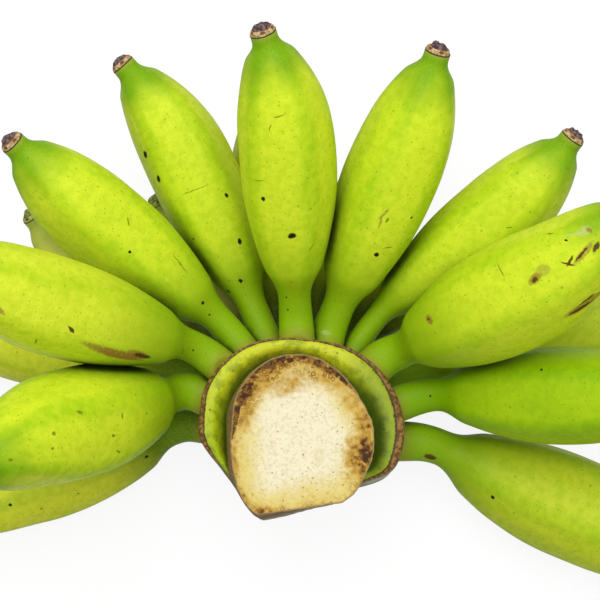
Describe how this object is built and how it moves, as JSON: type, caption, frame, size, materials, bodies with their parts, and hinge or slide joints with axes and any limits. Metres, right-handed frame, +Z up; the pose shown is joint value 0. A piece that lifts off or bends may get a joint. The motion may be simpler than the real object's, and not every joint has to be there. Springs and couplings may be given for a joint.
{
  "type": "hand of green cooking bananas",
  "caption": "Hand of unripe green bananas still joined to a cut length of the main stalk, lying down with its tips curling up.",
  "frame": {"origin": "centre of the bounding box's bottom face, on the surface that the hand lies on", "axes": "+Z up, along the main stalk towards its upper cut; +Y the way the middle bananas point; +X along the hand's long way, to the right seen from the cut stalk"},
  "size_m": [0.3203, 0.2155, 0.1524],
  "materials": {
    "cut_stalk": "matte",
    "green_peel": "satin"
  },
  "bodies": {
    "root": {"stalk_crown": "cut_stalk", "upper_banana_1": "green_peel", "upper_banana_2": "green_peel", "upper_banana_3": "green_peel", "upper_banana_4": "green_peel", "upper_banana_5": "green_peel", "upper_banana_6": "green_peel", "upper_banana_7": "green_peel", "upper_banana_8": "green_peel", "upper_banana_9": "green_peel", "lower_banana_1": "green_peel", "lower_banana_2": "green_peel", "lower_banana_3": "green_peel", "lower_banana_4": "green_peel", "lower_banana_5": "green_peel", "lower_banana_6": "green_peel", "lower_banana_7": "green_peel", "lower_banana_8": "green_peel", "lower_banana_9": "green_peel"}
  },
  "joints": []
}
